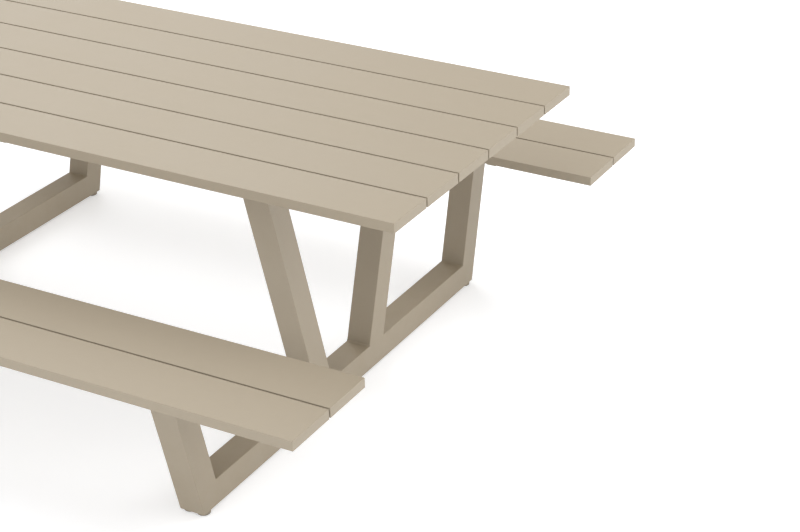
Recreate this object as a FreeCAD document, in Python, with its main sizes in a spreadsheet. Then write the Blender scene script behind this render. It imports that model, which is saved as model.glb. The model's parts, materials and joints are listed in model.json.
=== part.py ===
"""Picnic table with two fixed benches: hollow aluminium planks on two trestles of square tube.

Frame: +Z up, X along the planks, Y across them. The origin is on the ground, midway between
the two trestles and midway between the two benches. The front is -Y, and the right is +X.
"""
import FreeCAD, Part
import Sketcher
import os
from FreeCAD import Placement, Rotation, Vector

DRIVING = {
    # planks
    "table_length": 2200,        # every plank has this length, end plates included
    "plank_width": 145,
    "plank_thick": 25,
    "plank_gap": 5,
    "plank_wall": 2,
    "plank_round": 1.2,
    "end_plate": 3,
    "end_round": 1,              # edge of the end plate's outer face; less than plank_round
    # heights and widths over everything
    "table_height": 762,
    "seat_height": 449,
    "overall_width": 1770,
    # trestles
    "tube": 70,
    "tube_wall": 3,
    "tube_round": 2,
    "trestle_inset": 402,        # plank end to the trestle's outer face
    "rail_half": 671,            # centre line to the rail's bottom corner
    "bench_lean": 14,            # degrees from upright
    "table_lean": 16,
    "table_leg_foot": 167,       # centre line to the table leg's outer face, on top of the rail
    # bars on the leg tops, and the battens between them
    "bar_thick": 8,
    "bar_width": 120,
    "flat_chamfer": 1,
    "bar_screws": 48,            # screw to the trestle's centre line, clear of the tube
    "batten_width": 28,
    "batten_screws": 47,         # screw to its plank's centre line
    "batten_inset": 305,         # plank end to the centre line of the end batten
    "table_bar_length": 830,
    "bench_bar_length": 250,
    "bench_bar_inset": 10,       # inner edge of the bench to the bar's end
    "batten_margin": 12,         # edge of a row of planks to the batten's ends
    # feet
    "foot_height": 8,
    "foot_radius": 16.5,
    "foot_pitch": 37,            # between the two feet of a pair
    "foot_inset": 20.5,          # rail's bottom corner to the feet
    "foot_clear": 0.3,           # between a foot's pad and the rail
    "stem_radius": 4.95,
    "stem_top": 36,
    "bush_radius": 8,
    "bush_hole": 8.05,
    "bush_bore": 5,
    "bush_length": 22,
    # fasteners
    "screw_radius": 2.95,
    "screw_reach": 10,           # screw tip above the plank's underside
    "head_radius": 5.25,
    "head_height": 3.3,
    "screw_hole": 3.3,
    "nut_radius": 4.5,
    "nut_bore": 3.0,
    "nut_length": 9,
    "nut_bulge": 6,
    "nut_hole": 4.55,
}

SIDES = {"front": -1, "back": 1}
ENDS = {"left": -1, "right": 1}

doc = FreeCAD.newDocument("picnic_table")
sheet = doc.addObject("Spreadsheet::Sheet", "dims")
for row, (alias, number) in enumerate(DRIVING.items(), start=1):
    sheet.set(f"A{row}", alias)
    sheet.set(f"B{row}", str(number))
    sheet.setAlias(f"B{row}", alias)
doc.recompute()

nodes = []

# Places that more than one piece uses, as expressions of the driving dimensions.
TABLE_UNDER = "(dims.table_height - dims.plank_thick)"
SEAT_UNDER = "(dims.seat_height - dims.plank_thick)"
TABLE_LEG_TOP = f"({TABLE_UNDER} - dims.bar_thick)"
SEAT_LEG_TOP = f"({SEAT_UNDER} - dims.bar_thick)"
RAIL_TOP = "(dims.foot_height + dims.tube)"
TRESTLE_X = "(dims.table_length / 2 - dims.trestle_inset - dims.tube / 2)"
BATTEN_X = "(dims.table_length / 2 - dims.batten_inset)"
PITCH = "(dims.plank_width + dims.plank_gap)"
BENCH_WIDTH = "(2 * dims.plank_width + dims.plank_gap)"
BENCH_INNER = f"(dims.overall_width / 2 - {BENCH_WIDTH})"
BENCH_BAR_Y = f"({BENCH_INNER} + dims.bench_bar_inset + dims.bench_bar_length / 2)"
BENCH_MIDDLE_Y = f"({BENCH_INNER} + {BENCH_WIDTH} / 2)"
TABLE_WIDTH = f"(5 * {PITCH} + dims.plank_width)"
FOOT_Y = "(dims.rail_half - dims.foot_inset)"


# ---------------------------------------------------------------- drawing and feature helpers

def value(expression):
    """What an expression of the driving dimensions comes to."""
    return float(sheet.evalExpression(expression))


def new_body(label):
    """An empty body that becomes the node of this name."""
    body = doc.addObject("PartDesign::Body", label)
    body.Label = label
    nodes.append(body)
    return body


def place(piece, x="0", y="0", z="0", turned=False):
    """Stand a piece at (x, y, z), turned half way round about Z if asked."""
    angle = 180 if turned else 0
    piece.Placement = Placement(Vector(0, 0, 0), Rotation(Vector(0, 0, 1), angle))
    piece.setExpression("Placement.Base.x", x)
    piece.setExpression("Placement.Base.y", y)
    piece.setExpression("Placement.Base.z", z)


def new_sketch(body, name, plane):
    """A sketch on one of the body's own origin planes."""
    sketch = body.newObject("Sketcher::SketchObject", f"{body.Name}_{name}")
    origin_plane = next(f for f in body.Origin.OriginFeatures if f.Role == plane)
    sketch.AttachmentSupport = [(origin_plane, "")]
    sketch.MapMode = "FlatFace"
    return sketch


def hold(sketch, kind, references, expression):
    """A dimension on the sketch that follows an expression."""
    index = sketch.addConstraint(Sketcher.Constraint(kind, *references, value(expression)))
    sketch.setExpression(f"Constraints[{index}]", expression)


def hold_point(sketch, edge, end, across, up):
    """Dimension one point from the sketch's origin, along both of its axes."""
    hold(sketch, "DistanceX", (-1, 1, edge, end), across)
    hold(sketch, "DistanceY", (-1, 1, edge, end), up)


def draw_polygon(sketch, corners):
    """A closed polygon with every corner dimensioned; a corner is a pair of expressions."""
    points = [Vector(value(across), value(up), 0) for across, up in corners]
    first = sketch.GeometryCount
    for index, point in enumerate(points):
        after = points[(index + 1) % len(points)]
        sketch.addGeometry(Part.LineSegment(point, after), False)
    for index in range(len(points)):
        edge = first + index
        following = first + (index + 1) % len(points)
        sketch.addConstraint(Sketcher.Constraint("Coincident", edge, 2, following, 1))
    for index, (across, up) in enumerate(corners):
        hold_point(sketch, first + index, 1, across, up)


def draw_circle(sketch, across, up, radius):
    """A dimensioned circle."""
    centre = Vector(value(across), value(up), 0)
    edge = sketch.addGeometry(Part.Circle(centre, Vector(0, 0, 1), value(radius)), False)
    hold_point(sketch, edge, 3, across, up)
    hold(sketch, "Radius", (edge,), radius)


def box_corners(low_across, high_across, low_up, high_up):
    """The four corners of an upright rectangle."""
    return [(low_across, low_up), (high_across, low_up), (high_across, high_up), (low_across, high_up)]


def extrude(body, kind, sketch, length, symmetric=False, reverse=False):
    """A Pad or a Pocket of a sketch."""
    feature = body.newObject(f"PartDesign::{kind}", f"{sketch.Name}_{kind}")
    feature.Profile = sketch
    feature.SideType = "Symmetric" if symmetric else "One side"
    feature.Reversed = reverse
    feature.setExpression("Length", length)
    sketch.Visibility = False
    doc.recompute()
    return feature


def finish_edges(body, kind, feature, numbers, size):
    """A Fillet or a Chamfer on the feature's numbered edges."""
    finish = body.newObject(f"PartDesign::{kind}", f"{feature.Name}_{kind}")
    finish.Base = (feature, [f"Edge{number}" for number in numbers])
    finish.setExpression("Radius" if kind == "Fillet" else "Size", size)
    doc.recompute()
    return finish


def round_long_edges(body, feature, radius):
    """Round the feature's four outer edges, the longest ones of its prism."""
    lengths = [edge.Length for edge in feature.Shape.Edges]
    longest = sorted(range(len(lengths)), key=lambda index: -lengths[index])[:4]
    finish_edges(body, "Fillet", feature, [index + 1 for index in sorted(longest)], radius)


def copies(label, source, places, turned=False):
    """Copies of one small piece as separate solids of one node, turned half way round if asked."""
    angle = 180 if turned else 0
    piece = source.Shape.rotated(Vector(0, 0, 0), Vector(0, 0, 1), angle)
    group = doc.addObject("Part::Feature", label)
    group.Label = label
    group.Shape = Part.makeCompound([piece.translated(Vector(*where)) for where in places])
    nodes.append(group)


# ---------------------------------------------------------------- planks

def cross_pieces():
    """Each cross piece's name, width, x, and screw spots from where a plank crosses it."""
    bar_spots = [("-dims.bar_screws", "0"), ("dims.bar_screws", "0")]
    batten_spots = [("0", "-dims.batten_screws"), ("0", "dims.batten_screws")]
    return [
        ("bar_left", "dims.bar_width", f"-{TRESTLE_X}", bar_spots),
        ("bar_right", "dims.bar_width", TRESTLE_X, bar_spots),
        ("batten_left", "dims.batten_width", f"-{BATTEN_X}", batten_spots),
        ("batten_middle", "dims.batten_width", "0", batten_spots),
        ("batten_right", "dims.batten_width", BATTEN_X, batten_spots),
    ]


def plank_screw_spots():
    """Where one plank's screws are, (x, y) from its centre."""
    return [(f"{x} + {along}", across)
            for _, _, x, spots in cross_pieces() for along, across in spots]


def draw_plank_section(body):
    """The plank's outer section, with its underside at height 0."""
    section = new_sketch(body, "outline", "YZ_Plane")
    half = "dims.plank_width / 2"
    draw_polygon(section, box_corners(f"-{half}", half, "0", "dims.plank_thick"))
    return section


def make_plank(label, y, z):
    """A hollow plank of three chambers, with holes for the rivet nuts in its lower skin."""
    body = new_body(label)
    outline = draw_plank_section(body)
    solid = extrude(body, "Pad", outline, "dims.table_length - 2 * dims.end_plate", symmetric=True)
    round_long_edges(body, solid, "dims.plank_round")
    chambers = new_sketch(body, "chambers", "YZ_Plane")
    chamber = "((dims.plank_width - 4 * dims.plank_wall) / 3)"
    floor = "dims.plank_wall"
    ceiling = "dims.plank_thick - dims.plank_wall"
    for number in (-1, 0, 1):
        centre = f"{number} * ({chamber} + dims.plank_wall)"
        low = f"{centre} - {chamber} / 2"
        high = f"{centre} + {chamber} / 2"
        draw_polygon(chambers, box_corners(low, high, floor, ceiling))
    extrude(body, "Pocket", chambers, "dims.table_length", symmetric=True)
    holes = new_sketch(body, "holes", "XY_Plane")
    for along, across in plank_screw_spots():
        draw_circle(holes, along, across, "dims.nut_hole")
    extrude(body, "Pocket", holes, "dims.plank_wall + 1", reverse=True)
    place(body, y=y, z=z)


def make_end_plate():
    """The plate that closes a plank's right end; its inner face is at x = 0."""
    body = doc.addObject("PartDesign::Body", "end_plate")
    outline = draw_plank_section(body)
    solid = extrude(body, "Pad", outline, "dims.end_plate")
    corners = [number for number, edge in enumerate(solid.Shape.Edges, start=1)
               if edge.BoundBox.XLength > value("dims.end_plate") / 2]
    blank = finish_edges(body, "Fillet", solid, corners, "dims.plank_round")
    rim = [number for number, edge in enumerate(blank.Shape.Edges, start=1)
           if edge.BoundBox.XMin > value("dims.end_plate") / 2]
    finish_edges(body, "Fillet", blank, rim, "dims.end_round")
    return body


def table_plank_ys():
    """Centre lines of the tabletop's six planks, front to back."""
    return [f"({number} - 3.5) * {PITCH}" for number in range(1, 7)]


def bench_plank_ys(side):
    """Centre lines of one bench's planks: inner, then outer."""
    inner = f"{side} * ({BENCH_INNER} + dims.plank_width / 2)"
    outer = f"{side} * ({BENCH_INNER} + dims.plank_width / 2 + {PITCH})"
    return [inner, outer]


def plank_rows():
    """Each row of planks: its name, its planks' centre lines, and its underside."""
    rows = {"tabletop": (table_plank_ys(), TABLE_UNDER)}
    for side_name, side in SIDES.items():
        rows[f"{side_name}_bench"] = (bench_plank_ys(side), SEAT_UNDER)
    return rows


def make_planks():
    for row_name, (ys, under) in plank_rows().items():
        part_names = range(1, 7) if row_name == "tabletop" else ("inner", "outer")
        for part_name, y in zip(part_names, ys):
            make_plank(f"{row_name}_plank_{part_name}", y, under)


def make_end_plates():
    plate = make_end_plate()
    inner_face = value("dims.table_length / 2 - dims.end_plate")
    for row_name, (ys, under) in plank_rows().items():
        for end_name, end in ENDS.items():
            places = [(end * inner_face, value(y), value(under)) for y in ys]
            copies(f"{row_name}_end_plates_{end_name}", plate, places, turned=end < 0)


# ---------------------------------------------------------------- trestles

# How far the mitre at a rail's end runs in, over the height of the tube.
MITRE_RUN = "(dims.tube * tan((90 - dims.bench_lean) / 2))"
# The share of the mitre that lies in one wall of the tube.
WALL_SHARE = "(dims.tube_wall / dims.tube)"


def tube_body(label, outside, inside, sketch_plane="YZ_Plane"):
    """A square tube cut to an outline: a prism less its inside, both centred on the plane."""
    body = new_body(label)
    outer = new_sketch(body, "outside", sketch_plane)
    draw_polygon(outer, outside)
    solid = extrude(body, "Pad", outer, "dims.tube", symmetric=True)
    round_long_edges(body, solid, "dims.tube_round")
    inner = new_sketch(body, "inside", sketch_plane)
    draw_polygon(inner, inside)
    extrude(body, "Pocket", inner, "dims.tube - 2 * dims.tube_wall", symmetric=True)
    return body


def make_rail(label, end):
    """The base rail: mitred at both ends, with a hole for each foot's bush."""
    floor = "dims.foot_height"
    outside = [
        ("-dims.rail_half", floor),
        ("dims.rail_half", floor),
        (f"dims.rail_half - {MITRE_RUN}", RAIL_TOP),
        (f"-dims.rail_half + {MITRE_RUN}", RAIL_TOP),
    ]
    low_half = f"(dims.rail_half - {WALL_SHARE} * {MITRE_RUN})"
    high_half = f"(dims.rail_half - (1 - {WALL_SHARE}) * {MITRE_RUN})"
    inside = [
        (f"-{low_half}", f"{floor} + dims.tube_wall"),
        (low_half, f"{floor} + dims.tube_wall"),
        (high_half, f"{RAIL_TOP} - dims.tube_wall"),
        (f"-{high_half}", f"{RAIL_TOP} - dims.tube_wall"),
    ]
    body = tube_body(label, outside, inside)
    holes = new_sketch(body, "bush_holes", "XY_Plane")
    for across in (f"-{FOOT_Y}", FOOT_Y):
        for along in ("-dims.foot_pitch / 2", "dims.foot_pitch / 2"):
            draw_circle(holes, along, across, "dims.bush_hole")
    extrude(body, "Pocket", holes, "dims.foot_height + dims.tube_wall", reverse=True)
    place(body, x=f"{end} * {TRESTLE_X}")


def make_bench_leg(label, end, side):
    """A bench leg: mitred to the rail, leaning out, and cut level under its top bar."""
    rise = f"({SEAT_LEG_TOP} - dims.foot_height)"
    outer_top = f"(dims.rail_half + {rise} * tan(dims.bench_lean))"
    level_width = "(dims.tube / cos(dims.bench_lean))"
    level_wall = "(dims.tube_wall / cos(dims.bench_lean))"
    inner_foot = f"(dims.rail_half - {MITRE_RUN})"
    outside = [
        ("dims.rail_half", "dims.foot_height"),
        (outer_top, SEAT_LEG_TOP),
        (f"{outer_top} - {level_width}", SEAT_LEG_TOP),
        (inner_foot, RAIL_TOP),
    ]
    inside = [
        (f"dims.rail_half - {WALL_SHARE} * {MITRE_RUN}", "dims.foot_height + dims.tube_wall"),
        (f"{outer_top} - {level_wall}", SEAT_LEG_TOP),
        (f"{outer_top} - {level_width} + {level_wall}", SEAT_LEG_TOP),
        (f"{inner_foot} + {WALL_SHARE} * {MITRE_RUN}", f"{RAIL_TOP} - dims.tube_wall"),
    ]
    body = tube_body(label, outside, inside)
    place(body, x=f"{end} * {TRESTLE_X}", turned=side < 0)


def make_table_leg(label, end, side):
    """A table leg: stands on the rail, leans out, and is cut level under the top bar."""
    rise = f"({TABLE_LEG_TOP} - {RAIL_TOP})"
    outer_top = f"(dims.table_leg_foot + {rise} * tan(dims.table_lean))"
    level_width = "(dims.tube / cos(dims.table_lean))"
    level_wall = "(dims.tube_wall / cos(dims.table_lean))"
    outside = [
        ("dims.table_leg_foot", RAIL_TOP),
        (outer_top, TABLE_LEG_TOP),
        (f"{outer_top} - {level_width}", TABLE_LEG_TOP),
        (f"dims.table_leg_foot - {level_width}", RAIL_TOP),
    ]
    inside = [
        (f"dims.table_leg_foot - {level_wall}", RAIL_TOP),
        (f"{outer_top} - {level_wall}", TABLE_LEG_TOP),
        (f"{outer_top} - {level_width} + {level_wall}", TABLE_LEG_TOP),
        (f"dims.table_leg_foot - {level_width} + {level_wall}", RAIL_TOP),
    ]
    body = tube_body(label, outside, inside)
    place(body, x=f"{end} * {TRESTLE_X}", turned=side < 0)


def make_trestles():
    for end_name, end in ENDS.items():
        make_rail(f"base_rail_{end_name}", end)
        for side_name, side in SIDES.items():
            make_bench_leg(f"{side_name}_bench_leg_{end_name}", end, side)
            make_table_leg(f"{side_name}_table_leg_{end_name}", end, side)


# ---------------------------------------------------------------- bars and battens

def make_flat(label, width, length, screw_spots, x, y, z):
    """A flat bar along Y with its screw holes; x and y are its middle."""
    body = new_body(label)
    outline = new_sketch(body, "outline", "XY_Plane")
    draw_polygon(outline, box_corners(f"-{width} / 2", f"{width} / 2", f"-{length} / 2", f"{length} / 2"))
    blank = extrude(body, "Pad", outline, "dims.bar_thick")
    every_edge = range(1, len(blank.Shape.Edges) + 1)
    finish_edges(body, "Chamfer", blank, every_edge, "dims.flat_chamfer")
    holes = new_sketch(body, "screw_holes", "XY_Plane")
    for along, across in screw_spots:
        draw_circle(holes, along, across, "dims.screw_hole")
    extrude(body, "Pocket", holes, "dims.bar_thick", reverse=True)
    place(body, x=x, y=y, z=z)


def flat_length_and_middle(row_name, is_bar):
    """How long a bar or a batten is, and the y of its middle."""
    if row_name == "tabletop":
        return ("dims.table_bar_length" if is_bar else f"{TABLE_WIDTH} - 2 * dims.batten_margin", "0")
    side = SIDES[row_name.split("_")[0]]
    if is_bar:
        return ("dims.bench_bar_length", f"{side} * {BENCH_BAR_Y}")
    return (f"{BENCH_WIDTH} - 2 * dims.batten_margin", f"{side} * {BENCH_MIDDLE_Y}")


def make_flats():
    for row_name, (plank_ys, under) in plank_rows().items():
        for name, width, x, spots in cross_pieces():
            length, middle = flat_length_and_middle(row_name, is_bar=name.startswith("bar"))
            holes = [(along, f"{plank_y} + {across} - ({middle})")
                     for plank_y in plank_ys for along, across in spots]
            label = f"{row_name}_{name}"
            make_flat(label, width, f"({length})", holes, x, middle, f"{under} - dims.bar_thick")


# ---------------------------------------------------------------- fasteners

def revolve(body, name, profile):
    """Turn a profile of (radius, height) expressions once round the body's Z axis."""
    sketch = new_sketch(body, name, "XZ_Plane")
    draw_polygon(sketch, profile)
    feature = body.newObject("PartDesign::Revolution", f"{body.Name}_{name}_turned")
    feature.Profile = sketch
    feature.ReferenceAxis = (sketch, ["V_Axis"])
    feature.Angle = 360
    sketch.Visibility = False
    doc.recompute()
    return feature


def make_screw():
    """A button-head socket screw, with the plank's underside at z = 0."""
    body = doc.addObject("PartDesign::Body", "screw")
    under = "-dims.bar_thick"
    crown = f"{under} - dims.head_height"
    profile = [
        ("0", "dims.screw_reach"),
        ("dims.screw_radius - 0.8", "dims.screw_reach"),
        ("dims.screw_radius", "dims.screw_reach - 0.8"),
        ("dims.screw_radius", under),
        ("dims.head_radius", under),
        ("dims.head_radius", f"{under} - 0.25 * dims.head_height"),
        ("0.86 * dims.head_radius", f"{under} - 0.65 * dims.head_height"),
        ("0.55 * dims.head_radius", crown),
        ("0", crown),
    ]
    revolve(body, "profile", profile)
    socket = new_sketch(body, "socket", "XY_Plane")
    socket.AttachmentOffset = Placement(Vector(0, 0, value(crown)), Rotation())
    socket.setExpression("AttachmentOffset.Base.z", crown)
    corner = "0.44 * dims.head_radius"
    hexagon = [(f"{corner} * cos({60 * turn})", f"{corner} * sin({60 * turn})") for turn in range(6)]
    draw_polygon(socket, hexagon)
    extrude(body, "Pocket", socket, "0.6 * dims.head_height", reverse=True)
    return body


def make_rivet_nut():
    """A flush rivet nut, with the plank's underside at z = 0."""
    body = doc.addObject("PartDesign::Body", "rivet_nut")
    skin = "dims.plank_wall"
    profile = [
        ("dims.nut_bore", "0"),
        ("dims.nut_radius", "0"),
        ("dims.nut_radius", f"{skin} + 0.05"),
        ("dims.nut_bulge", f"{skin} + 0.05"),
        ("dims.nut_bulge", f"{skin} + 1.5"),
        ("dims.nut_radius", f"{skin} + 3"),
        ("dims.nut_radius", "dims.nut_length"),
        ("dims.nut_bore", "dims.nut_length"),
    ]
    revolve(body, "profile", profile)
    return body


def make_fasteners():
    screw = make_screw()
    rivet_nut = make_rivet_nut()
    for row_name, (ys, under) in plank_rows().items():
        places = [(value(along), value(f"{y} + {across}"), value(under))
                  for y in ys for along, across in plank_screw_spots()]
        copies(f"{row_name}_screws", screw, places)
        copies(f"{row_name}_rivet_nuts", rivet_nut, places)


# ---------------------------------------------------------------- feet

def foot_places():
    """Each foot's name, x and y."""
    spots = []
    for end_name, end in ENDS.items():
        for side_name, side in SIDES.items():
            for pair_name, offset in (("outer", 0.5 * end), ("inner", -0.5 * end)):
                x = f"{end} * {TRESTLE_X} + {offset} * dims.foot_pitch"
                spots.append((f"foot_{side_name}_{end_name}_{pair_name}", x, f"{side} * {FOOT_Y}"))
    return spots


def make_foot(label, x, y):
    """A screw-in foot: a round pad with a softened rim, and its stem."""
    body = new_body(label)
    top = "dims.foot_height - dims.foot_clear"
    profile = [
        ("0", "0"),
        ("dims.foot_radius - 2.2", "0"),
        ("dims.foot_radius - 0.8", "0.7"),
        ("dims.foot_radius", "2.4"),
        ("dims.foot_radius", f"{top} - 0.6"),
        ("dims.foot_radius - 0.6", top),
        ("dims.stem_radius", top),
        ("dims.stem_radius", "dims.stem_top - 1"),
        ("dims.stem_radius - 1", "dims.stem_top"),
        ("0", "dims.stem_top"),
    ]
    revolve(body, "profile", profile)
    place(body, x=x, y=y)


def make_bush():
    """A threaded bush, flush with the rail's underside, which is at z = 0."""
    body = doc.addObject("PartDesign::Body", "bush")
    profile = [
        ("dims.bush_bore", "0"),
        ("dims.bush_radius", "0"),
        ("dims.bush_radius", "dims.bush_length"),
        ("dims.bush_bore", "dims.bush_length"),
    ]
    revolve(body, "profile", profile)
    return body


def make_feet():
    for label, x, y in foot_places():
        make_foot(label, x, y)
    bush = make_bush()
    for end_name in ENDS:
        places = [(value(x), value(y), value("dims.foot_height"))
                  for label, x, y in foot_places() if f"_{end_name}_" in label]
        copies(f"foot_bushes_{end_name}", bush, places)


# ---------------------------------------------------------------- checks and files

def check_document():
    """Stop on any failed feature or bad shape."""
    for item in doc.Objects:
        if "Invalid" in item.State or "Error" in item.State:
            raise RuntimeError(f"{item.Label} failed: {item.State}")
    for node in nodes:
        if node.Shape.isNull() or not node.Shape.isValid():
            raise RuntimeError(f"{node.Label} has no valid shape")


def write_nodes():
    os.makedirs("parts", exist_ok=True)
    for node in nodes:
        node.Shape.exportStep(f"parts/{node.Label}.step")


make_planks()
make_end_plates()
make_trestles()
make_flats()
make_fasteners()
make_feet()
doc.recompute()
check_document()
write_nodes()
print(len(nodes), "nodes written")
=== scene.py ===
"""The picnic table's looks: powder coat, weld beads, floor, studio light and camera."""
import json
import math

import bmesh
import bpy
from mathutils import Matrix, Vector


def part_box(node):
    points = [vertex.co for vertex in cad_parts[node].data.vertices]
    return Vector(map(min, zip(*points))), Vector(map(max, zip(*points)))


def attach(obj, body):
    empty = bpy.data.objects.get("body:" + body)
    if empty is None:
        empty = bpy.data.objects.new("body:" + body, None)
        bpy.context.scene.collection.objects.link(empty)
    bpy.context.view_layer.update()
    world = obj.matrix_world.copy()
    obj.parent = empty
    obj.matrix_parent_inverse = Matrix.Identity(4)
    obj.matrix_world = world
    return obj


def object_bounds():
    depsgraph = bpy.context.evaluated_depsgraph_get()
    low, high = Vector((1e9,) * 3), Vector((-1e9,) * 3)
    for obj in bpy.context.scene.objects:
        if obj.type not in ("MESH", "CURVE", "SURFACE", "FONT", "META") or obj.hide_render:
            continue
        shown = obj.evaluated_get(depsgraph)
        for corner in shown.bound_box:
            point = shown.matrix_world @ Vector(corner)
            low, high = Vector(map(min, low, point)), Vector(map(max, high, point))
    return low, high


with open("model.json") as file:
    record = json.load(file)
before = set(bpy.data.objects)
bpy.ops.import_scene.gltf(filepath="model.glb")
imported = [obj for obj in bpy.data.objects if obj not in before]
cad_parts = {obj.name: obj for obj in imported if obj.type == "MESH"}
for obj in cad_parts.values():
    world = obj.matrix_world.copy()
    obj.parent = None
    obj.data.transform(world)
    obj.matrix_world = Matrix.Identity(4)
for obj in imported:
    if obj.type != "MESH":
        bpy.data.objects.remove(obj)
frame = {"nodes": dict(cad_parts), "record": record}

cad_low, cad_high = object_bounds()
scene = bpy.context.scene


# ---------------------------------------------------------------- camera

# Where the camera stands, from the right-hand end of the tabletop at floor level.
CAMERA_FROM_END = Vector((1.957, -3.778, 2.642))
CAMERA_AZIMUTH = math.radians(27.197)
CAMERA_ELEVATION = math.radians(27.241)
CAMERA_ROLL = math.radians(-0.069)
LENS = 88.81
SHIFT_X = -0.1196
SHIFT_Y = 0.00115


def make_camera():
    data = bpy.data.cameras.new("camera")
    data.lens = LENS
    data.sensor_width = 36
    data.shift_x = SHIFT_X
    data.shift_y = SHIFT_Y
    data.clip_start = 0.05
    data.clip_end = 60
    camera = bpy.data.objects.new("camera", data)
    camera.location = CAMERA_FROM_END + Vector((cad_high.x, 0, 0))
    camera.rotation_euler = (math.pi / 2 - CAMERA_ELEVATION, CAMERA_ROLL, CAMERA_AZIMUTH)
    scene.collection.objects.link(camera)
    scene.camera = camera


make_camera()


# ---------------------------------------------------------------- materials

COAT = (0.332, 0.281, 0.209)
STAINLESS = (0.60, 0.59, 0.57)
ZINC = (0.66, 0.66, 0.62)
GRIME = (0.16, 0.14, 0.11)
DUST = (0.27, 0.21, 0.13)
DUST_HEIGHT = 0.35       # dust on the frame fades out this high above the ground
FOOT_SHADE_HEIGHT = 0.0085      # the painted shade on a foot's underside fades out this high
NOISE_LOW = 0.3          # most of a noise's values lie between these two
NOISE_HIGH = 0.7


class Nodes:
    """A short way to write a material's node tree."""

    def __init__(self, name):
        self.material = bpy.data.materials.new(name)
        self.material.use_nodes = True
        self.tree = self.material.node_tree
        self.shader = self.tree.nodes["Principled BSDF"]

    def add(self, kind, inputs=None, **settings):
        """A node with its settings; an input's value is a number, a colour or another socket."""
        node = self.tree.nodes.new("ShaderNode" + kind)
        for name, value in settings.items():
            setattr(node, name, value)
        for name, value in (inputs or {}).items():
            self.put(node.inputs[name], value)
        return node

    def put(self, socket, value):
        if isinstance(value, bpy.types.NodeSocket):
            self.tree.links.new(value, socket)
        else:
            socket.default_value = value

    def noise(self, scale, detail=2.0, roughness=0.5, stretch=(1, 1, 1)):
        """Noise in the object's own metres, at so many features a metre."""
        coordinates = self.add("TexCoord").outputs["Object"]
        mapping = self.add("Mapping", {"Vector": coordinates, "Scale": stretch})
        return self.add("TexNoise", {"Vector": mapping.outputs["Vector"], "Scale": scale,
                                     "Detail": detail, "Roughness": roughness}).outputs["Fac"]

    def remap(self, value, low, high, from_low=0.0, from_high=1.0):
        node = self.add("MapRange", {"Value": value, "From Min": from_low, "From Max": from_high,
                                     "To Min": low, "To Max": high})
        return node.outputs["Result"]

    def spread(self, noise, low, high):
        """A noise's usual values, stretched to run from low to high."""
        return self.remap(noise, low, high, NOISE_LOW, NOISE_HIGH)

    def calculate(self, operation, first, second):
        node = self.add("Math", operation=operation)
        self.put(node.inputs[0], first)
        self.put(node.inputs[1], second)
        return node.outputs["Value"]

    def scaled(self, color, factor):
        """A colour made lighter or darker by a factor that varies over the surface."""
        node = self.add("VectorMath", operation="SCALE")
        self.put(node.inputs[0], color)
        self.put(node.inputs["Scale"], factor)
        return node.outputs["Vector"]

    def mix(self, share, first, second):
        node = self.add("Mix", data_type="RGBA")
        self.put(node.inputs[0], share)
        self.put(node.inputs[6], first)
        self.put(node.inputs[7], second)
        return node.outputs[2]

    def height(self):
        """How high a point is above the ground."""
        coordinates = self.add("TexCoord").outputs["Object"]
        return self.add("SeparateXYZ", {"Vector": coordinates}).outputs["Z"]

    def bump(self, height, distance, strength=1.0, normal=None):
        inputs = {"Height": height, "Distance": distance, "Strength": strength}
        if normal is not None:
            inputs["Normal"] = normal
        return self.add("Bump", inputs).outputs["Normal"]


def tinted(color, share=1.0):
    """A colour with alpha, made lighter or darker by one share."""
    return (*[share * channel for channel in color], 1.0)


def powder_coat(name, scuffs=0.0, ground_dust=0.0):
    """Matte powder coat: fine sandy grain over orange peel, faint clouding, scuffs and dust."""
    nodes = Nodes(name)
    shader = nodes.shader
    shader.inputs["IOR"].default_value = 1.5
    shader.inputs["Specular IOR Level"].default_value = 0.35
    grain = nodes.noise(1600, detail=3, roughness=0.7)
    clouds = nodes.noise(3.0, detail=4, roughness=0.55)
    drift = nodes.noise(40, detail=3, roughness=0.6)
    tone = nodes.remap(grain, 0.955, 1.045, 0.25, 0.75)
    tone = nodes.calculate("MULTIPLY", tone, nodes.spread(clouds, 0.987, 1.013))
    tone = nodes.calculate("MULTIPLY", tone, nodes.spread(drift, 0.993, 1.007))
    base = nodes.scaled(COAT, tone)
    rough = nodes.calculate("ADD", nodes.spread(clouds, -0.03, 0.03),
                            nodes.remap(grain, 0.50, 0.62, 0.25, 0.75))
    if scuffs:
        streaks = nodes.noise(55, detail=4, roughness=0.6, stretch=(0.12, 1, 1))
        rubbed = nodes.remap(streaks, 0.0, scuffs, 0.60, 0.78)
        base = nodes.mix(rubbed, base, tinted(COAT, 1.12))
        rough = nodes.calculate("SUBTRACT", rough, nodes.remap(rubbed, 0.0, 0.12))
    if ground_dust:
        low = nodes.remap(nodes.height(), ground_dust, 0.0, 0.0, DUST_HEIGHT)
        patches = nodes.remap(nodes.noise(22, detail=5, roughness=0.65), 0.3, 1.0, 0.35, 0.65)
        base = nodes.mix(nodes.calculate("MULTIPLY", low, patches), base, tinted(DUST))
    nodes.put(shader.inputs["Base Color"], base)
    nodes.put(shader.inputs["Roughness"], rough)
    peel = nodes.bump(nodes.noise(260, detail=1), 0.0001, 0.35)
    nodes.put(shader.inputs["Normal"], nodes.bump(grain, 0.00008, 0.6, peel))
    return nodes.material


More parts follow.
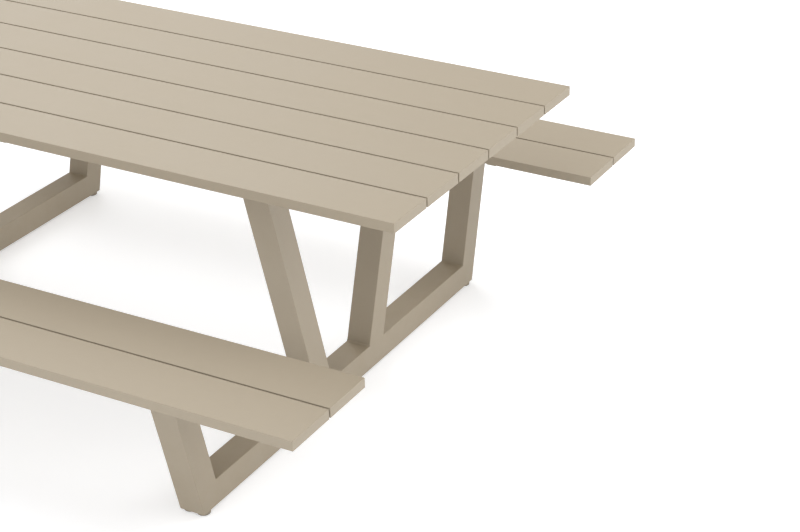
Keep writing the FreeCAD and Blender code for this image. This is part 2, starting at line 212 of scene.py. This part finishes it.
def turned_metal(name, color, roughness):
    """Bare fastener metal: fine turning marks, soft stains and grime."""
    nodes = Nodes(name)
    shader = nodes.shader
    shader.inputs["Metallic"].default_value = 1.0
    stains = nodes.noise(90, detail=4, roughness=0.6)
    marks = nodes.noise(2500, detail=2, roughness=0.5, stretch=(1, 1, 4))
    tone = nodes.spread(stains, 0.88, 1.06)
    grime_and_painted_shade = nodes.remap(stains, 0.35, 0.0, 0.35, 0.5)
    turning = nodes.spread(marks, roughness - 0.04, roughness + 0.04)
    base = nodes.mix(grime_and_painted_shade, nodes.scaled(color, tone), tinted(GRIME))
    rough = nodes.calculate("ADD", nodes.spread(stains, 0.08, -0.05), turning)
    nodes.put(shader.inputs["Base Color"], base)
    nodes.put(shader.inputs["Roughness"], rough)
    nodes.put(shader.inputs["Normal"], nodes.bump(marks, 0.00003, 0.5))
    return nodes.material


def moulded_plastic(name, color):
    """A foot's satin plastic, rougher towards the rim that meets the ground and darkened there
    with painted shade.
    """
    nodes = Nodes(name)
    shader = nodes.shader
    shader.inputs["Specular IOR Level"].default_value = 0.4
    grain = nodes.noise(2200, detail=2, roughness=0.6)
    mottle = nodes.noise(120, detail=4, roughness=0.6)
    wavering = nodes.calculate("ADD", nodes.height(), nodes.spread(mottle, -0.0005, 0.0005))
    # painted shade: the foot's plastic darkens towards its rim at the ground, where shade falls
    # under it
    grime_and_painted_shade = nodes.remap(wavering, 0.8, 0.0, 0.001, FOOT_SHADE_HEIGHT)
    base = nodes.scaled(color, nodes.spread(mottle, 0.96, 1.04))
    rough = nodes.calculate("ADD", nodes.spread(grain, 0.42, 0.5), nodes.remap(grime_and_painted_shade, 0.0, 0.25))
    nodes.put(shader.inputs["Base Color"], nodes.mix(grime_and_painted_shade, base, tinted(color, 0.45)))
    nodes.put(shader.inputs["Roughness"], rough)
    nodes.put(shader.inputs["Normal"], nodes.bump(grain, 0.00004, 0.5))
    return nodes.material


MATERIALS = {
    "plank_coat": powder_coat("plank_coat", scuffs=0.12),
    "frame_coat": powder_coat("frame_coat", ground_dust=0.24),
    "screw": turned_metal("stainless_steel", STAINLESS, roughness=0.28),
    "insert": turned_metal("zinc_plate", ZINC, roughness=0.38),
    "foot": moulded_plastic("foot_plastic", COAT),
}

slots = {part["node"]: part["material_slot"] for part in frame["record"]["subparts"]}
for name, node in frame["nodes"].items():
    node.data.materials.clear()
    node.data.materials.append(MATERIALS[slots[name]])


# ---------------------------------------------------------------- welds

TABLE_LEAN = math.radians(16)     # from upright
BENCH_LEAN = math.radians(14)
WELD_SIZE = 0.0030       # from the corner to the bead's edge, along each surface
WELD_CROWN = 0.0004      # how far the bead's face stands out at its middle
WELD_SINK = 0.0002       # the bead's edges lie this far inside the metal
WELD_MARGIN = 0.0035     # a bead across a tube stops this far short of the tube's sides
RIPPLE_PITCH = 0.0022
RIPPLE_HEIGHT = 0.00014
RIPPLE_BOW = 0.0010      # a ripple's middle lies this far ahead of its ends
BLUNT_END = 0.35         # a bead's size at its very end, as a share of its full size
SLOW_WANDER = 0.05       # how far a bead's size strays, in long waves and in short ones
QUICK_WANDER = 0.03
GROUND_SIZE = 0.0024     # half the width of a weld ground flush over the rail's rounded edge
GROUND_CROWN = 0.00028
GROUND_DEPTH = 0.0019    # its root's depth inside the tubes
BEAD_STEPS = 6           # rows of the mesh in each ripple
BEAD_SIDES = 8           # strips of the mesh across a bead's face


def add_ring(mesh, root, place, across, outward, crowns):
    """One row of a bead: its root inside the corner, then its face from edge to edge."""
    ring = [mesh.verts.new(root)]
    for side, crown in enumerate(crowns):
        toe = across[0].lerp(across[1], side / BEAD_SIDES)
        ring.append(mesh.verts.new(place + toe + outward * crown))
    return ring


def close_bead(mesh, rings):
    """Skin a bead's rows into a closed solid, with a crease along both of its edges."""
    for ring, following in zip(rings, rings[1:]):
        for index in range(len(ring)):
            after = (index + 1) % len(ring)
            face = mesh.faces.new((ring[index], ring[after], following[after], following[index]))
            face.smooth = True
        for index in (0, 1, BEAD_SIDES + 1):
            mesh.edges.get((ring[index], following[index])).smooth = False
    mesh.faces.new(rings[0][::-1])
    mesh.faces.new(rings[-1])


def arch_at(side):
    """The height of a bead's face at one of its rows of points: 0 at its edges, 1 between."""
    share = side / BEAD_SIDES
    return 4 * share * (1 - share)


def end_rounding(travelled, length, reach):
    """0 at either end of a bead, rising in a quarter circle to 1."""
    near_end = min(1, min(travelled, length - travelled) / reach)
    return math.sqrt(1 - (1 - near_end) ** 2)


def add_fillet(mesh, start, end, first, second):
    """A rippled bead in a corner; first and second lead away from it on its two surfaces."""
    length = (end - start).length
    along = (end - start) / length
    outward = (first + second).normalized()
    steps = round(length / RIPPLE_PITCH * BEAD_STEPS)
    phase = 40 * (start.x + start.y) + 90 * start.z
    rings = []
    for step in range(steps + 1):
        travelled = length * step / steps
        rounded = end_rounding(travelled, length, WELD_SIZE)
        wander = 1 + SLOW_WANDER * math.sin(310 * travelled + phase)
        wander += QUICK_WANDER * math.sin(790 * travelled + 2 * phase)
        size = WELD_SIZE * wander * (BLUNT_END + (1 - BLUNT_END) * rounded)
        crowns = []
        for side in range(BEAD_SIDES + 1):
            arch = arch_at(side)
            in_ripple = ((travelled - RIPPLE_BOW * arch) / RIPPLE_PITCH) % 1
            ripple = RIPPLE_HEIGHT * (1 - (2 * in_ripple - 1) ** 2)
            crowns.append((WELD_CROWN + ripple) * arch * rounded)
        place = start + along * travelled - outward * WELD_SINK
        rings.append(add_ring(mesh, place, place, (size * first, size * second), outward, crowns))
    close_bead(mesh, rings)


def add_ground_seam(mesh, start, end, outward):
    """A weld along two flush faces, ground nearly flat; outward points away from the faces."""
    length = (end - start).length
    along = (end - start) / length
    up = Vector((0, 0, GROUND_SIZE))
    steps = round(length / RIPPLE_PITCH)
    crowns = [GROUND_CROWN * arch_at(side) for side in range(BEAD_SIDES + 1)]
    rings = []
    for step in range(steps + 1):
        place = start + along * (length * step / steps) - outward * WELD_SINK
        root = place - outward * GROUND_DEPTH
        rings.append(add_ring(mesh, root, place, (up, -up), outward, crowns))
    close_bead(mesh, rings)


def make_weld(name, fillets, ground_seams=()):
    """One piece with all the beads of one joint between tubes."""
    mesh = bmesh.new()
    for fillet in fillets:
        add_fillet(mesh, *fillet)
    for seam in ground_seams:
        add_ground_seam(mesh, *seam)
    bmesh.ops.recalc_face_normals(mesh, faces=mesh.faces)
    data = bpy.data.meshes.new(name)
    mesh.to_mesh(data)
    mesh.free()
    data.materials.append(MATERIALS["frame_coat"])
    weld = bpy.data.objects.new(name, data)
    scene.collection.objects.link(weld)
    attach(weld, "table")


class Leg:
    """Where a leg's four corners are, in the trestle's plane, and which way it leans."""

    def __init__(self, kind, end, side):
        self.name = f"{side}_{kind}_leg_{end}"
        rail_low, rail_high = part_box(f"base_rail_{end}")
        low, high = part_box(self.name)
        lean = TABLE_LEAN if kind == "table" else BENCH_LEAN
        level_width = (rail_high.z - rail_low.z) / math.cos(lean)
        self.out = -1 if side == "front" else 1
        self.x_low, self.x_high = low.x, high.x
        self.foot_z, self.top_z = rail_high.z, high.z
        self.inner_foot = self.out * min(abs(low.y), abs(high.y))
        self.outer_foot = self.inner_foot + self.out * level_width
        self.outer_top = self.out * max(abs(low.y), abs(high.y))
        self.inner_top = self.outer_top - self.out * level_width
        self.outwards = Vector((0, self.out, 0))
        self.up = Vector((0, self.out * math.sin(lean), math.cos(lean)))

    def across(self, y, z, first, second):
        """A fillet across the leg, from its left side to its right."""
        start = Vector((self.x_low + WELD_MARGIN, y, z))
        end = Vector((self.x_high - WELD_MARGIN, y, z))
        return (start, end, first, second)

    def x_faces(self):
        """The x of the leg's left and right faces, with the way that each looks."""
        return ((self.x_low, Vector((-1, 0, 0))), (self.x_high, Vector((1, 0, 0))))


def make_foot_weld(leg, stands_on_rail):
    """A bench leg is mitred to the rail, so only its inner corner has a fillet."""
    fillets = [leg.across(leg.inner_foot, leg.foot_z, -leg.outwards, leg.up)]
    ground_seams = []
    if stands_on_rail:
        fillets.append(leg.across(leg.outer_foot, leg.foot_z, leg.outwards, leg.up))
        for x, way in leg.x_faces():
            start = Vector((x, leg.inner_foot, leg.foot_z))
            end = Vector((x, leg.outer_foot, leg.foot_z))
            ground_seams.append((start, end, way))
    make_weld(f"weld_{leg.name}_foot", fillets, ground_seams)


def make_top_weld(leg):
    """Fillets all round the leg's top, under its bar."""
    fillets = [
        leg.across(leg.inner_top, leg.top_z, -leg.outwards, -leg.up),
        leg.across(leg.outer_top, leg.top_z, leg.outwards, -leg.up),
    ]
    for x, way in leg.x_faces():
        start = Vector((x, leg.inner_top, leg.top_z))
        end = Vector((x, leg.outer_top, leg.top_z))
        fillets.append((start, end, way, Vector((0, 0, -1))))
    make_weld(f"weld_{leg.name}_top", fillets)


for end in ("left", "right"):
    for side in ("front", "back"):
        for kind in ("table", "bench"):
            leg = Leg(kind, end, side)
            make_foot_weld(leg, stands_on_rail=kind == "table")
            make_top_weld(leg)


# ---------------------------------------------------------------- floor and light

FLOOR_COLOR = (0.793, 0.8, 0.812)
FLOOR_GLOW = 0.393       # the floor glows a little, which fills in the shadows on it
FLOOR_GLOW_COLOR = (0.985, 1.0, 1.03, 1.0)
FLOOR_RADIUS = 27
WALL_DEPTH = 4
WALL_HEIGHT = 6
SWEEP_STEPS = 12
SWEEP_SIDES = 96
SKY_STRENGTH = 1.62
SOFTBOX_SIZE = 5.0

# Each softbox's azimuth (0 is in front, 90 on the right) and elevation in degrees, its distance
# from the middle of the table in metres, and its power in watts.
SOFTBOXES = {
    "front_low": (0, 14, 9, 28),
    "front": (0, 40, 8, 172),
    "right_low": (90, 14, 9, 103),
    "right": (108, 40, 8, 186),
    "back_left": (228, 40, 8, 297),
}


def sweep_mesh():
    """A round floor that curves up into a low wall a long way off, as a studio's sweep does."""
    sweep = bmesh.new()
    rings = []
    for step in range(SWEEP_STEPS + 1):
        turn = math.pi / 2 * step / SWEEP_STEPS
        radius = FLOOR_RADIUS + WALL_DEPTH * math.sin(turn)
        height = WALL_HEIGHT * (1 - math.cos(turn))
        ring = []
        for side in range(SWEEP_SIDES):
            angle = 2 * math.pi * side / SWEEP_SIDES
            place = (radius * math.cos(angle), radius * math.sin(angle), height)
            ring.append(sweep.verts.new(place))
        rings.append(ring)
    sweep.faces.new(rings[0])
    for ring, higher in zip(rings, rings[1:]):
        for side in range(SWEEP_SIDES):
            after = (side + 1) % SWEEP_SIDES
            wall = sweep.faces.new((ring[side], higher[side], higher[after], ring[after]))
            wall.smooth = True
    bmesh.ops.recalc_face_normals(sweep, faces=sweep.faces)
    mesh = bpy.data.meshes.new("floor")
    sweep.to_mesh(mesh)
    sweep.free()
    return mesh


def floor_material():
    nodes = Nodes("pale_floor")
    shader = nodes.shader
    tone = nodes.remap(nodes.noise(1.5, 4), 0.985, 1.0)
    nodes.put(shader.inputs["Base Color"], nodes.scaled(FLOOR_COLOR, tone))
    shader.inputs["Roughness"].default_value = 0.8
    shader.inputs["Specular IOR Level"].default_value = 0.1
    shader.inputs["Emission Color"].default_value = FLOOR_GLOW_COLOR
    shader.inputs["Emission Strength"].default_value = FLOOR_GLOW
    return nodes.material


def make_floor():
    mesh = sweep_mesh()
    floor = bpy.data.objects.new("floor", mesh)
    scene.collection.objects.link(floor)
    mesh.materials.append(floor_material())


def make_world():
    """A sky that is bright overhead and fades to nothing at the horizon."""
    world = bpy.data.worlds.new("studio")
    world.use_nodes = True
    tree = world.node_tree
    background = tree.nodes["Background"]
    background.inputs["Color"].default_value = (1.0, 1.0, 1.0, 1.0)
    direction = tree.nodes.new("ShaderNodeTexCoord")
    split = tree.nodes.new("ShaderNodeSeparateXYZ")
    tree.links.new(direction.outputs["Generated"], split.inputs["Vector"])
    brightness = split.outputs["Z"]
    for operation, number in (("MAXIMUM", 0.0), ("POWER", 2.0), ("MULTIPLY", SKY_STRENGTH)):
        node = tree.nodes.new("ShaderNodeMath")
        node.operation = operation
        node.inputs[1].default_value = number
        tree.links.new(brightness, node.inputs[0])
        brightness = node.outputs["Value"]
    tree.links.new(brightness, background.inputs["Strength"])
    scene.world = world


def make_softbox(name, azimuth, elevation, distance, power):
    """A square softbox that looks at the table's middle."""
    data = bpy.data.lights.new(name, "AREA")
    data.size = SOFTBOX_SIZE
    data.energy = power
    light = bpy.data.objects.new(name, data)
    a = math.radians(azimuth)
    e = math.radians(elevation)
    back = Vector((math.sin(a) * math.cos(e), -math.cos(a) * math.cos(e), math.sin(e)))
    light.location = Vector((0, 0, cad_high.z / 2)) + distance * back
    light.rotation_mode = "QUATERNION"
    light.rotation_quaternion = (-back).to_track_quat("-Z", "Y")
    scene.collection.objects.link(light)


make_floor()
make_world()
for name, settings in SOFTBOXES.items():
    make_softbox(name, *settings)
scene.view_settings.view_transform = "Standard"
